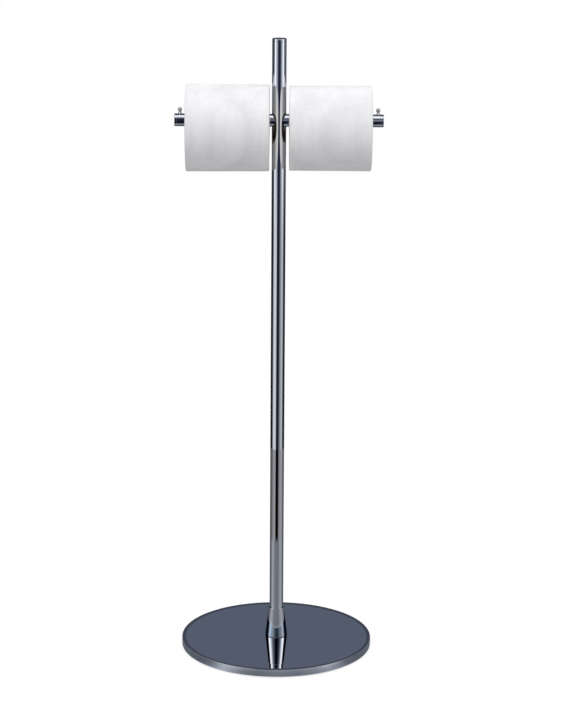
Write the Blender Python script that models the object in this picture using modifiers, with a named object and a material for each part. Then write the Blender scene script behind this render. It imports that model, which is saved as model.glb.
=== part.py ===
# Free-standing holder for two toilet paper rolls: a heavy round base, a straight
# pole, and two arms that each carry a roll behind a small retaining peg.
# Lengths are in metres, +Z is up, the floor is at zero and the front faces -Y.

import math

import bmesh
import bpy
from mathutils import Matrix

# Fits shared by all pieces
seat_gap = 0.0003
cut_overrun = 0.002
merge_distance = 0.00001

# Pole
stand_height = 0.798
pole_radius = 0.009
pole_wall = 0.0012
pole_cap_height = 0.003
pole_cap_round = 0.0007
pole_cap_spigot = 0.010

# Round base with its non-slip pad
base_radius = 0.124
base_thickness = 0.011
base_edge_round = 0.0015
base_lower_chamfer = 0.0008
pad_thickness = 0.002
pad_reveal = 0.001
pad_rim_margin = 0.006
pad_inner_radius = 0.016
pad_edge_round = 0.0005

# Conical collar round the foot of the pole
collar_height = 0.039
collar_foot_radius = 0.01445
collar_top_radius = 0.0102
collar_floor = 0.005
collar_chamfer = 0.0003

# Screw joint that clamps base, collar and pole together
base_screw_radius = 0.003
base_screw_length = 0.030
base_screw_head_radius = 0.0052
base_screw_head_height = 0.0033
base_screw_socket_radius = 0.0023
base_screw_socket_depth = 0.0018
base_washer_radius = 0.009
base_washer_thickness = 0.0014
base_screw_recess = 0.0005
foot_bush_length = 0.026
bush_chamfer = 0.0005

# Arms
arm_height = 0.6955
arm_reach = 0.131
arm_radius = 0.008
arm_wall = 0.0012
arm_cap_height = 0.003
arm_cap_round = 0.0005
arm_cap_spigot = 0.012

# Screw joint that draws both arms onto the pole
tie_screw_radius = 0.0025
tie_screw_length = 0.050
tie_screw_head_radius = 0.0042
tie_screw_head_height = 0.005
tie_screw_socket_radius = 0.0023
tie_screw_socket_depth = 0.0025
tie_washer_radius = 0.005
tie_washer_thickness = 0.001
arm_bush_length = 0.016

# Retaining pegs
peg_from_tip = 0.007
peg_height = 0.0075
peg_ball_radius = 0.00275
peg_neck_radius = 0.0017
peg_foot_radius = 0.0026
peg_foot_height = 0.0011
peg_stud_radius = 0.0015
peg_stud_length = 0.0052

# Paper rolls on cardboard cores, which hang from the top of the arms
core_inner_radius = 0.0182
core_wall = 0.0009
left_roll_radius = 0.0540
left_roll_clearance = 0.003
left_roll_peg_clearance = 0.0049
left_roll_swell = 0.0006
right_roll_radius = 0.0530
right_roll_clearance = 0.0039
right_roll_peg_clearance = 0.0057
right_roll_swell = 0.0002
paper_edge_round = 0.0016

# Sides of round pieces
base_steps = 72
roll_steps = 64
tube_steps = 48
fitting_steps = 32
screw_steps = 24
peg_steps = 20
hexagon_sides = 6
base_round_steps = 3
paper_round_steps = 3
cap_round_steps = 2
ball_round_steps = 6

# Sizes and places that follow from how the pieces fit and stack up
base_top = pad_reveal + base_thickness
pole_inner_radius = pole_radius - pole_wall
pole_bottom = base_top + seat_gap + collar_floor + seat_gap
pole_top = stand_height - pole_cap_height - seat_gap
base_screw_head_top = pad_reveal + base_screw_recess + base_screw_head_height
base_washer_bottom = base_screw_head_top + seat_gap
base_counterbore_top = base_washer_bottom + base_washer_thickness + seat_gap
base_screw_hole = base_screw_radius + seat_gap
arm_inner_radius = arm_radius - arm_wall
arm_end = arm_reach - arm_cap_height - seat_gap
arm_bush_end = pole_radius + arm_bush_length
tie_screw_hole = tie_screw_radius + seat_gap
tie_washer_start = arm_bush_end + seat_gap
tie_screw_head_start = tie_washer_start + tie_washer_thickness + seat_gap
peg_distance = arm_reach - peg_from_tip
peg_seat = arm_height + arm_radius + seat_gap
roll_space = peg_distance - peg_foot_radius - pole_radius
left_roll_width = roll_space - left_roll_clearance - left_roll_peg_clearance
right_roll_width = roll_space - right_roll_clearance - right_roll_peg_clearance
roll_drop = core_inner_radius - arm_radius - seat_gap
roll_height = arm_height - roll_drop

directions = {"left": -1, "right": 1}
roll_sizes = {
    "left": (left_roll_radius, left_roll_width, left_roll_clearance, left_roll_swell),
    "right": (right_roll_radius, right_roll_width, right_roll_clearance, right_roll_swell),
}


def clear_scene():
    for obj in list(bpy.data.objects):
        bpy.data.objects.remove(obj, do_unlink=True)


def new_collection(name):
    collection = bpy.data.collections.new(name)
    bpy.context.scene.collection.children.link(collection)
    return collection


def finish(name, colour, metallic, roughness):
    material = bpy.data.materials.new(name)
    material.use_nodes = True
    shader = material.node_tree.nodes["Principled BSDF"]
    shader.inputs["Base Color"].default_value = (*colour, 1)
    shader.inputs["Metallic"].default_value = metallic
    shader.inputs["Roughness"].default_value = roughness
    return material


clear_scene()
stand = new_collection("toilet_paper_stand")
cutters = new_collection("cutters")

chrome = finish("polished_chrome", (0.78, 0.79, 0.82), 1, 0.04)
steel = finish("zinc_plated_steel", (0.62, 0.62, 0.60), 1, 0.32)
brass = finish("turned_brass", (0.72, 0.52, 0.25), 1, 0.28)
rubber = finish("non_slip_rubber", (0.03, 0.03, 0.03), 0, 0.85)
paper = finish("toilet_paper", (0.90, 0.90, 0.91), 0, 0.95)
cardboard = finish("core_cardboard", (0.52, 0.43, 0.33), 0, 0.90)


def corner(centre_r, centre_z, radius, start, end, steps):
    """Points of a round corner from one angle to another, in degrees."""
    points = []
    for step in range(steps + 1):
        angle = math.radians(start + (end - start) * step / steps)
        points.append((centre_r + radius * math.cos(angle), centre_z + radius * math.sin(angle)))
    return points


def turned(name, profile, steps, material, ring=True):
    """Turn a profile of (radius, height) points, which runs down its outer side.

    A ring has a closed profile round a bore. Anything else runs from axis to axis.
    """
    mesh = bpy.data.meshes.new(name)
    count = len(profile)
    edges = [(index, (index + 1) % count) for index in range(count if ring else count - 1)]
    mesh.from_pydata([(radius, 0, height) for radius, height in profile], edges, [])
    obj = bpy.data.objects.new(name, mesh)
    stand.objects.link(obj)
    mesh.materials.append(material)
    screw = obj.modifiers.new("turning", "SCREW")
    screw.axis = "Z"
    screw.angle = math.radians(360)
    screw.steps = steps
    screw.render_steps = steps
    screw.use_merge_vertices = not ring
    screw.merge_threshold = merge_distance
    return obj


def cylinder_cutter(name, radius, length, sides, place, turn=Matrix.Identity(4)):
    """A drill or mill that starts at its place and runs along its own +Z."""
    mesh = bpy.data.meshes.new(name)
    shape = bmesh.new()
    bmesh.ops.create_cone(shape, cap_ends=True, segments=sides, radius1=radius,
                          radius2=radius, depth=length)
    bmesh.ops.translate(shape, verts=shape.verts, vec=(0, 0, length / 2))
    shape.to_mesh(mesh)
    shape.free()
    cutter = bpy.data.objects.new(name, mesh)
    cutters.objects.link(cutter)
    cutter.matrix_world = Matrix.Translation(place) @ turn
    cutter.hide_render = True
    cutter.display_type = "WIRE"
    return cutter


def cut(obj, cutter):
    boolean = obj.modifiers.new(cutter.name, "BOOLEAN")
    boolean.operation = "DIFFERENCE"
    boolean.solver = "EXACT"
    boolean.object = cutter


def along_arm(side):
    """Turn that lays a piece's +Z along the arm, away from the pole."""
    return Matrix.Rotation(math.radians(90) * directions[side], 4, "Y")


def on_arm(obj, side, distance=0):
    obj.rotation_euler = along_arm(side).to_euler()
    obj.location = (directions[side] * distance, 0, arm_height)
    return obj


def plug(name, radius, height, edge_round, spigot_radius, spigot_length, steps):
    """Closing plug: a head flush with its tube, and a spigot that sits inside it."""
    profile = [(0, height)]
    profile += corner(radius - edge_round, height - edge_round, edge_round, 90, 0,
                      cap_round_steps)
    profile += [
        (radius, 0),
        (spigot_radius, 0),
        (spigot_radius, bush_chamfer - spigot_length),
        (spigot_radius - bush_chamfer, -spigot_length),
        (0, -spigot_length),
    ]
    return turned(name, profile, steps, chrome, ring=False)


def socket_screw(name, radius, length, head_radius, head_height, chamfer):
    """Screw with its head below zero and its shank standing up from zero."""
    profile = [
        (0, length),
        (radius - chamfer, length),
        (radius, length - chamfer),
        (radius, 0),
        (head_radius, 0),
        (head_radius, chamfer - head_height),
        (head_radius - chamfer, -head_height),
        (0, -head_height),
    ]
    return turned(name, profile, screw_steps, steel, ring=False)


def washer(name, radius, hole, thickness):
    profile = [(hole, thickness), (radius, thickness), (radius, 0), (hole, 0)]
    return turned(name, profile, fitting_steps, steel)


def make_base_disc():
    """Plate with a rounded rim, a pad recess below and a counterbored centre hole."""
    recess = pad_thickness - pad_reveal + seat_gap
    recess_outer = base_radius - pad_rim_margin + seat_gap
    recess_inner = pad_inner_radius - seat_gap
    counterbore = base_washer_radius + seat_gap
    counterbore_depth = base_counterbore_top - pad_reveal
    profile = [(base_screw_hole, base_thickness)]
    profile += corner(base_radius - base_edge_round, base_thickness - base_edge_round,
                      base_edge_round, 90, 0, base_round_steps)
    profile += [
        (base_radius, base_lower_chamfer),
        (base_radius - base_lower_chamfer, 0),
        (recess_outer, 0),
        (recess_outer, recess),
        (recess_inner, recess),
        (recess_inner, 0),
        (counterbore, 0),
        (counterbore, counterbore_depth),
        (base_screw_hole, counterbore_depth),
    ]
    disc = turned("base_disc", profile, base_steps, chrome)
    disc.location.z = pad_reveal


def make_base_pad():
    """Rubber ring in the recess, which stands proud of the plate and meets the floor."""
    outer = base_radius - pad_rim_margin
    profile = [
        (pad_inner_radius, pad_thickness),
        (outer, pad_thickness),
        (outer, pad_edge_round),
        (outer - pad_edge_round, 0),
        (pad_inner_radius + pad_edge_round, 0),
        (pad_inner_radius, pad_edge_round),
    ]
    turned("base_pad", profile, base_steps, rubber)


def make_foot_collar():
    """Cone with a bore for the pole, whose floor the pole stands on."""
    bore = pole_radius + seat_gap
    profile = [
        (bore, collar_height),
        (collar_top_radius - collar_chamfer, collar_height),
        (collar_top_radius, collar_height - collar_chamfer),
        (collar_foot_radius, collar_chamfer),
        (collar_foot_radius - collar_chamfer, 0),
        (base_screw_hole, 0),
        (base_screw_hole, collar_floor),
        (bore, collar_floor),
    ]
    collar = turned("foot_collar", profile, tube_steps, chrome)
    collar.location.z = base_top + seat_gap


def make_foot_joint():
    """Threaded bush in the foot of the pole, and the screw and washer below the base."""
    outer = pole_inner_radius - seat_gap
    profile = [
        (base_screw_hole, foot_bush_length),
        (outer - bush_chamfer, foot_bush_length),
        (outer, foot_bush_length - bush_chamfer),
        (outer, bush_chamfer),
        (outer - bush_chamfer, 0),
        (base_screw_hole, 0),
    ]
    bush = turned("foot_bush", profile, fitting_steps, brass)
    bush.location.z = pole_bottom

    screw = socket_screw("base_screw", base_screw_radius, base_screw_length,
                         base_screw_head_radius, base_screw_head_height, bush_chamfer)
    screw.location.z = base_screw_head_top
    socket_start = base_screw_head_top - base_screw_head_height - cut_overrun
    cut(screw, cylinder_cutter("base_screw_socket", base_screw_socket_radius,
                               base_screw_socket_depth + cut_overrun, hexagon_sides,
                               (0, 0, socket_start)))

    disc = washer("base_washer", base_washer_radius, base_screw_hole, base_washer_thickness)
    disc.location.z = base_washer_bottom


def make_pole():
    """Tube with a cross hole for the tie screw, and the plug that closes its top."""
    length = pole_top - pole_bottom
    profile = [(pole_inner_radius, length), (pole_radius, length),
               (pole_radius, 0), (pole_inner_radius, 0)]
    tube = turned("pole_tube", profile, tube_steps, chrome)
    tube.location.z = pole_bottom
    drill_reach = pole_radius + cut_overrun
    cut(tube, cylinder_cutter("tie_drill", tie_screw_hole, drill_reach * 2, screw_steps,
                              (-drill_reach, 0, arm_height), along_arm("right")))
    cap = plug("pole_top_cap", pole_radius, pole_cap_height, pole_cap_round,
               pole_inner_radius - seat_gap, pole_cap_spigot, tube_steps)
    cap.location.z = pole_top + seat_gap


def make_arm(side, saddle):
    """Arm tube whose inner end is cut to saddle the pole, with its bush, cap and peg."""
    profile = [(arm_inner_radius, arm_end), (arm_radius, arm_end),
               (arm_radius, 0), (arm_inner_radius, 0)]
    tube = on_arm(turned(side + "_arm_tube", profile, tube_steps, chrome), side)
    cut(tube, saddle)

    outer = arm_inner_radius - seat_gap
    profile = [
        (tie_screw_hole, arm_bush_end),
        (outer - bush_chamfer, arm_bush_end),
        (outer, arm_bush_end - bush_chamfer),
        (outer, 0),
        (tie_screw_hole, 0),
    ]
    bush = on_arm(turned(side + "_arm_bush", profile, fitting_steps, brass), side)
    cut(bush, saddle)

    cap = plug(side + "_end_cap", arm_radius, arm_cap_height, arm_cap_round,
               outer, arm_cap_spigot, tube_steps)
    on_arm(cap, side, arm_end + seat_gap)

    drill_bottom = peg_seat - peg_stud_length - seat_gap
    drill = cylinder_cutter(side + "_peg_drill", peg_stud_radius + seat_gap,
                            peg_seat + cut_overrun - drill_bottom, peg_steps,
                            (directions[side] * peg_distance, 0, drill_bottom))
    cut(tube, drill)
    cut(cap, drill)


def make_retaining_peg(side):
    """Ball on a short neck, whose stud locks the end cap through the arm's wall."""
    centre = peg_height - peg_ball_radius
    neck_angle = -math.degrees(math.acos(peg_neck_radius / peg_ball_radius))
    profile = [(0, peg_height)]
    profile += corner(0, centre, peg_ball_radius, 90, neck_angle, ball_round_steps)[1:]
    profile += [
        (peg_neck_radius, peg_foot_height),
        (peg_foot_radius, 0),
        (peg_stud_radius, 0),
        (peg_stud_radius, -peg_stud_length),
        (0, -peg_stud_length),
    ]
    peg = turned(side + "_retaining_peg", profile, peg_steps, chrome, ring=False)
    peg.location = (directions[side] * peg_distance, 0, peg_seat)


def make_tie_screw():
    """Screw that enters through the right arm and pulls the left arm's bush to the pole."""
    screw = socket_screw("tie_screw", tie_screw_radius, tie_screw_length,
                         tie_screw_head_radius, tie_screw_head_height, bush_chamfer)
    on_arm(screw, "left")
    screw.location.x = tie_screw_head_start
    socket_start = tie_screw_head_start + tie_screw_head_height + cut_overrun
    cut(screw, cylinder_cutter("tie_screw_socket", tie_screw_socket_radius,
                               tie_screw_socket_depth + cut_overrun, hexagon_sides,
                               (socket_start, 0, arm_height), along_arm("left")))
    disc = washer("tie_washer", tie_washer_radius, tie_screw_hole, tie_washer_thickness)
    on_arm(disc, "right", tie_washer_start)


def make_roll(side):
    """Roll of paper on its core, hung from the arm and turning about its own axis."""
    radius, width, clearance, swell = roll_sizes[side]
    axis = bpy.data.objects.new(side + "_roll_axis", None)
    stand.objects.link(axis)
    axis.rotation_euler = along_arm(side).to_euler()
    axis.location = (directions[side] * (pole_radius + clearance + width / 2), 0, roll_height)

    half = width / 2
    core_outer = core_inner_radius + core_wall
    profile = [(core_inner_radius, half), (core_outer, half),
               (core_outer, -half), (core_inner_radius, -half)]
    core = turned(side + "_roll_core", profile, tube_steps, cardboard)
    core.parent = axis

    bore = core_outer + seat_gap
    wide = radius + swell
    profile = [(bore, half)]
    profile += corner(wide - paper_edge_round, half - paper_edge_round,
                      paper_edge_round, 90, 0, paper_round_steps)
    profile += corner(radius - paper_edge_round, paper_edge_round - half,
                      paper_edge_round, 0, -90, paper_round_steps)
    profile += [(bore, -half)]
    sheet = turned(side + "_roll_paper", profile, roll_steps, paper)
    sheet.parent = axis


make_base_disc()
make_base_pad()
make_foot_collar()
make_foot_joint()
make_pole()
saddle_reach = arm_radius + cut_overrun
pole_saddle = cylinder_cutter("pole_saddle", pole_radius + seat_gap, saddle_reach * 2,
                              tube_steps, (0, 0, arm_height - saddle_reach))
for side in directions:
    make_arm(side, pole_saddle)
    make_retaining_peg(side)
make_tie_screw()
for side in directions:
    make_roll(side)

# The finished meshes take the place of the profiles and cuts, smooth across round faces
bpy.context.view_layer.update()
depsgraph = bpy.context.evaluated_depsgraph_get()
finished = {obj: bpy.data.meshes.new_from_object(obj.evaluated_get(depsgraph))
            for obj in stand.objects if obj.type == "MESH"}
for obj, mesh in finished.items():
    obj.modifiers.clear()
    obj.data = mesh
    mesh.name = obj.name
    mesh.shade_smooth()
    mesh.set_sharp_from_angle(angle=math.radians(30))
    print(obj.name, len(mesh.polygons), "faces")
for cutter in cutters.objects:
    cutter.hide_set(True)
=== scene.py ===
# %% [markdown]
# # A chromed stand for two toilet paper rolls
#
# The stand is a heavy round plate, a straight pole in a conical collar, and two short
# arms. Each arm carries a roll, and a small ball-headed peg near its tip keeps the roll
# from sliding off. Everything but the paper is chrome plated.
#
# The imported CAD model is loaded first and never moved. Where a CAD piece shows, a
# finer mesh of the same size takes its place, because a mirror finish shows every facet.

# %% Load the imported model
import math

import bmesh
import bpy
from mathutils import Matrix, Vector, noise


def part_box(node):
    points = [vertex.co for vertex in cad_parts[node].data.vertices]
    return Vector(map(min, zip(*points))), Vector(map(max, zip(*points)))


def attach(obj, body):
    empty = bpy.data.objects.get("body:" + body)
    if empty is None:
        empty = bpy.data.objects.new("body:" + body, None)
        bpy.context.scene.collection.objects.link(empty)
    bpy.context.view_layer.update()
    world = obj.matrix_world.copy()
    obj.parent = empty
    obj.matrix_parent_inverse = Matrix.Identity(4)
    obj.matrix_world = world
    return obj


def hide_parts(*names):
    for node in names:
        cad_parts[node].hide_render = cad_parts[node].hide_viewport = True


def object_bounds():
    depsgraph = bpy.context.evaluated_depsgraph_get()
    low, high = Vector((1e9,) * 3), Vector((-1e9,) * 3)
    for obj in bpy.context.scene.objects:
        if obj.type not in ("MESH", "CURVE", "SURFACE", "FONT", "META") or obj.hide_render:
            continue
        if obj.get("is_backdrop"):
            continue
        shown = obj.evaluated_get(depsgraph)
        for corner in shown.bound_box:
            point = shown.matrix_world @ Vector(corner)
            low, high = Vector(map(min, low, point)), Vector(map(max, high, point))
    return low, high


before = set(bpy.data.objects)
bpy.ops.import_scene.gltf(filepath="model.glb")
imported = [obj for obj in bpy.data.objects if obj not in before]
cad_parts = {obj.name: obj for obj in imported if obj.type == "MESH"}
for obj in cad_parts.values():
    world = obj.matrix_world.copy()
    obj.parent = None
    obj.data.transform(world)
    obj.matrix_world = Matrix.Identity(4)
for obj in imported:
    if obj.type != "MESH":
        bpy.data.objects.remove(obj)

cad_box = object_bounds()
print("CAD box", [tuple(round(value, 4) for value in corner) for corner in cad_box])

# %% [markdown]
# ## The sizes of the real stand
#
# Outer sizes are read from the boxes of the CAD pieces, so the looks always fit the CAD
# model. Walls, rounded edges and clearances can't be read from a box, so they are
# written here in millimetres.

# %% Sizes
mm = 0.001
seat_gap = 0.3 * mm
same_place = 0.001 * mm

plate_low, plate_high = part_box("base_disc")
plate_radius = plate_high.x
plate_edge_round = 1.5 * mm
plate_lower_chamfer = 0.8 * mm

pole_low, pole_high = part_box("pole_tube")
pole_radius = pole_high.x
pole_wall = 1.2 * mm
pole_inner_radius = pole_radius - pole_wall

arm_low, arm_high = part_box("right_arm_tube")
arm_radius = (arm_high.z - arm_low.z) / 2
arm_height = (arm_high.z + arm_low.z) / 2
arm_end = arm_high.x
arm_wall = 1.2 * mm
arm_inner_radius = arm_radius - arm_wall

paper_low, paper_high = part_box("right_roll_paper")
roll_height = (paper_high.z + paper_low.z) / 2
directions = {"left": -1, "right": 1}
print("pole", round(pole_radius / mm, 1), "mm, arms at", round(arm_height / mm, 1), "mm")

# %% [markdown]
# ## The camera
#
# The photograph was taken from in front and a little above, from far away with a long
# lens, which keeps the pole's sides nearly parallel. A camera could be set by eye, but
# this one was worked out: its distance, height, tilt and focal length put the pole, the
# arms' ends and the plate's rim where they lie in the photograph.

# %% Camera
camera_distance = 2.9897
camera_height = 1.1472
focal_length = 120.173
sensor_width = 36
view_depth = 100
tilt_down = math.radians(14.2847)
turn_right = math.radians(0.1916)
lean = math.radians(0.3671)

camera_data = bpy.data.cameras.new("camera")
camera_data.lens = focal_length
camera_data.sensor_width = sensor_width
camera_data.clip_end = view_depth
camera = bpy.data.objects.new("camera", camera_data)
bpy.context.scene.collection.objects.link(camera)
camera.matrix_world = (
    Matrix.Translation((0, -camera_distance, camera_height))
    @ Matrix.Rotation(-turn_right, 4, "Z")
    @ Matrix.Rotation(math.radians(90) - tilt_down, 4, "X")
    @ Matrix.Rotation(lean, 4, "Z")
)
bpy.context.scene.camera = camera
bpy.context.scene.view_settings.view_transform = "Standard"
print("camera", camera_distance, "m away with a", focal_length, "mm lens")

# %% [markdown]
# ## Two helpers for every finish
#
# A colour is written the way it is picked on a screen, as sRGB hex, but a shader wants
# linear light. A finish is a small tree of nodes, so one helper adds a node with its
# settings and its links.

# %% Colour and node helpers


def hex_colour(text):
    """Linear colour from sRGB hex."""
    values = [int(text[start:start + 2], 16) / 255 for start in (1, 3, 5)]
    linear = [value / 12.92 if value <= 0.04045 else ((value + 0.055) / 1.055) ** 2.4
              for value in values]
    return (*linear, 1)


def add(tree, kind, inputs, **settings):
    """Adds a node, sets its fields, and fills its inputs with values or outputs."""
    node = tree.nodes.new(kind)
    for field, value in settings.items():
        setattr(node, field, value)
    for socket, value in inputs.items():
        if isinstance(value, bpy.types.NodeSocket):
            tree.links.new(value, node.inputs[socket])
        else:
            node.inputs[socket].default_value = value
    return node


def new_finish(name, colour, metallic, roughness):
    """A Principled material with its even values on the shader, and Object coordinates."""
    material = bpy.data.materials.new(name)
    material.use_nodes = True
    tree = material.node_tree
    shader = tree.nodes["Principled BSDF"]
    shader.inputs["Base Color"].default_value = hex_colour(colour)
    shader.inputs["Metallic"].default_value = metallic
    shader.inputs["Roughness"].default_value = roughness
    place = add(tree, "ShaderNodeTexCoord", {}).outputs["Object"]
    return material, tree, shader, place


# %% [markdown]
# ## Chrome plate
#
# The steel is polished, nickel plated and then flashed with bright chromium, so the eye
# sees a slightly blue mirror. It is never quite even: wiping leaves a faint haze in
# patches, and polishing leaves a ripple that bends reflections a little. A plain metal
# with one roughness would look like a drawing, so two noises of real size set both.

# %% Chrome plate
haze_patch = 38 * mm
polish_ripple = 16 * mm
polish_ripple_height = 0.004 * mm
clean_roughness = 0.015
hazy_roughness = 0.06

chrome_plate, tree, shader, place = new_finish("bright_chrome_plate", "#C6C9D0",
                                               metallic=1, roughness=0.03)
haze = add(tree, "ShaderNodeTexNoise",
           {"Vector": place, "Scale": 1 / haze_patch, "Detail": 3, "Roughness": 0.6})
wiped = add(tree, "ShaderNodeMapRange",
            {"Value": haze.outputs["Fac"], "From Min": 0.4, "From Max": 0.75,
             "To Min": clean_roughness, "To Max": hazy_roughness})
tree.links.new(wiped.outputs["Result"], shader.inputs["Roughness"])
ripple = add(tree, "ShaderNodeTexNoise",
             {"Vector": place, "Scale": 1 / polish_ripple, "Detail": 1})
bump = add(tree, "ShaderNodeBump",
           {"Height": ripple.outputs["Fac"], "Distance": polish_ripple_height})
tree.links.new(bump.outputs["Normal"], shader.inputs["Normal"])
print("made", chrome_plate.name)

# %% [markdown]
# ## Zinc-plated steel
#
# The screws and washers are bought parts, barrel plated with bright zinc, which looks
# pale, slightly blue and mottled. Small cells give the crystals their uneven polish, and
# a soft cloud gives the mottled colour. Both are noises, so they need no picture.

# %% Zinc-plated steel
zinc_spangle = 1.6 * mm
zinc_cloud = 4 * mm
zinc_relief = 0.01 * mm

zinc_plate, tree, shader, place = new_finish("zinc_plated_steel", "#B4B9BF",
                                             metallic=1, roughness=0.32)
spangle = add(tree, "ShaderNodeTexVoronoi", {"Vector": place, "Scale": 1 / zinc_spangle})
cloud = add(tree, "ShaderNodeTexNoise",
            {"Vector": place, "Scale": 1 / zinc_cloud, "Detail": 4})
tone = add(tree, "ShaderNodeValToRGB", {"Fac": cloud.outputs["Fac"]})
tone.color_ramp.elements[0].position = 0.35
tone.color_ramp.elements[0].color = hex_colour("#A2A8B0")
tone.color_ramp.elements[1].position = 0.7
tone.color_ramp.elements[1].color = hex_colour("#C4C8CC")
tree.links.new(tone.outputs["Color"], shader.inputs["Base Color"])
grain = add(tree, "ShaderNodeMapRange",
            {"Value": spangle.outputs["Distance"], "To Min": 0.26, "To Max": 0.4})
tree.links.new(grain.outputs["Result"], shader.inputs["Roughness"])
bump = add(tree, "ShaderNodeBump",
           {"Height": cloud.outputs["Fac"], "Distance": zinc_relief})
tree.links.new(bump.outputs["Normal"], shader.inputs["Normal"])
print("made", zinc_plate.name)

# %% [markdown]
# ## Turned brass
#
# The bushes are turned from brass bar, and the tool's slow feed leaves a fine thread of
# rings. A wave texture along the bar gives them. The foot's bush stands upright and the
# arms' bushes lie, so the finish is made once for each way.

# %% Turned brass
lathe_feed = 0.4 * mm
lathe_mark_depth = 0.01 * mm
wave_share = 0.314
print("a wave of scale s repeats every", wave_share, "/ s")


def turned_brass(axis):
    """Brass with lathe rings round one axis, drawn about twice as coarse as they are."""
    material, tree, shader, place = new_finish("turned_brass_" + axis.lower(), "#C6A15C",
                                               metallic=1, roughness=0.28)
    rings = add(tree, "ShaderNodeTexWave",
                {"Vector": place, "Scale": wave_share / lathe_feed,
                 "Distortion": 0.6, "Detail": 1},
                bands_direction=axis)
    dull = add(tree, "ShaderNodeMapRange",
               {"Value": rings.outputs["Fac"], "To Min": 0.2, "To Max": 0.36})
    tree.links.new(dull.outputs["Result"], shader.inputs["Roughness"])
    tone = add(tree, "ShaderNodeValToRGB", {"Fac": rings.outputs["Fac"]})
    tone.color_ramp.elements[0].color = hex_colour("#B18C49")
    tone.color_ramp.elements[1].color = hex_colour("#D0AD68")
    tree.links.new(tone.outputs["Color"], shader.inputs["Base Color"])
    bump = add(tree, "ShaderNodeBump",
               {"Height": rings.outputs["Fac"], "Distance": lathe_mark_depth})
    tree.links.new(bump.outputs["Normal"], shader.inputs["Normal"])
    print("made", material.name)
    return material


foot_brass = turned_brass("Z")
arm_brass = turned_brass("X")

# %% [markdown]
# ## Non-slip rubber
#
# The pad under the plate is moulded rubber, nearly black, with a fine pebbled skin that
# keeps the stand from sliding. Rounded cells, turned inside out, make the pebbles, and
# floor dust makes the skin paler in patches.

# %% Non-slip rubber
pebble = 1.1 * mm
pebble_depth = 0.15 * mm
dust_patch = 22 * mm

pad_rubber, tree, shader, place = new_finish("non_slip_rubber", "#232427",
                                             metallic=0, roughness=0.85)
grains = add(tree, "ShaderNodeTexVoronoi",
             {"Vector": place, "Scale": 1 / pebble}, feature="SMOOTH_F1")
dust = add(tree, "ShaderNodeTexNoise",
           {"Vector": place, "Scale": 1 / dust_patch, "Detail": 4})
tone = add(tree, "ShaderNodeValToRGB", {"Fac": dust.outputs["Fac"]})
tone.color_ramp.elements[0].position = 0.35
tone.color_ramp.elements[0].color = hex_colour("#1E1F22")
tone.color_ramp.elements[1].position = 0.75
tone.color_ramp.elements[1].color = hex_colour("#303237")
tree.links.new(tone.outputs["Color"], shader.inputs["Base Color"])
bump = add(tree, "ShaderNodeBump",
           {"Height": grains.outputs["Distance"], "Distance": pebble_depth}, invert=True)
tree.links.new(bump.outputs["Normal"], shader.inputs["Normal"])
print("made", pad_rubber.name)

# %% [markdown]
# ## Creases in the tissue
#
# Tissue is scraped off a drying cylinder by a blade, which leaves fine creases across
# the sheet. On a roll they run along its axis, so they show as faint level lines. Real
# ones lie about half a millimetre apart and are drawn three times as coarse here, or
# they would vanish at this distance. A noise is squeezed to their width round the roll,
# which needs the angle round the roll's axis as a length.

# %% Creases
crease_width = 1.7 * mm
crease_length = 26 * mm


def crepe(tree, place):
    """Creases that run along the roll's axis, as a noise squeezed round the roll."""
    level = add(tree, "ShaderNodeMapping",
                {"Vector": place, "Location": (0, 0, -roll_height),
                 "Rotation": (0, math.radians(90), 0)}, vector_type="POINT")
    angle = add(tree, "ShaderNodeTexGradient", {"Vector": level.outputs["Vector"]},
                gradient_type="RADIAL")
    round_length = add(tree, "ShaderNodeMath",
                       {0: angle.outputs["Fac"],
                        1: math.tau * (paper_high.z - roll_height) / crease_width},
                       operation="MULTIPLY")
    along = add(tree, "ShaderNodeSeparateXYZ", {"Vector": place})
    along_length = add(tree, "ShaderNodeMath",
                       {0: along.outputs["X"], 1: 1 / crease_length}, operation="MULTIPLY")
    sheet = add(tree, "ShaderNodeCombineXYZ",
                {"X": along_length.outputs["Value"], "Y": round_length.outputs["Value"]})
    return add(tree, "ShaderNodeTexNoise",
               {"Vector": sheet.outputs["Vector"], "Scale": 1, "Detail": 3,
                "Roughness": 0.55, "Distortion": 0.3})


print("creases every", round(crease_width / mm, 1), "mm")

# %% [markdown]
# ## Tissue on the outside
#
# The sheet is bleached fibre, so it is nearly white, quite matt and a little downy,
# which the sheen gives. The creases and a finer fleck of fibres vary its tone, and the
# creases also catch the light.

# %% Tissue outside
fibre_fleck = 3 * mm
fibre_share = 0.35
crease_depth = 0.25 * mm

tissue_face, tree, shader, place = new_finish("creped_tissue", "#F1F1F4",
                                              metallic=0, roughness=0.95)
creases = crepe(tree, place)
fibre = add(tree, "ShaderNodeTexNoise",
            {"Vector": place, "Scale": 1 / fibre_fleck, "Detail": 3, "Roughness": 0.6})
both = add(tree, "ShaderNodeMix",
           {"Factor": fibre_share, 2: creases.outputs["Fac"], 3: fibre.outputs["Fac"]})
tone = add(tree, "ShaderNodeValToRGB", {"Fac": both.outputs[0]})
tone.color_ramp.elements[0].position = 0.3
tone.color_ramp.elements[0].color = hex_colour("#E6E6EA")
tone.color_ramp.elements[1].position = 0.7
tone.color_ramp.elements[1].color = hex_colour("#FBFBFD")
tree.links.new(tone.outputs["Color"], shader.inputs["Base Color"])
shader.inputs["Sheen Weight"].default_value = 0.15
shader.inputs["Sheen Roughness"].default_value = 0.5
bump = add(tree, "ShaderNodeBump",
           {"Height": creases.outputs["Fac"], "Strength": 0.8, "Distance": crease_depth})
tree.links.new(bump.outputs["Normal"], shader.inputs["Normal"])
print("made", tissue_face.name)

# %% [markdown]
# ## Wound edges of the tissue
#
# The ends of a roll show the edges of hundreds of layers, as rings round its axis. They
# are thinner than half a millimetre, so they too are drawn coarser. A wave texture in
# rings, a little distorted, is close to how a soft winding looks.

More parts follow.
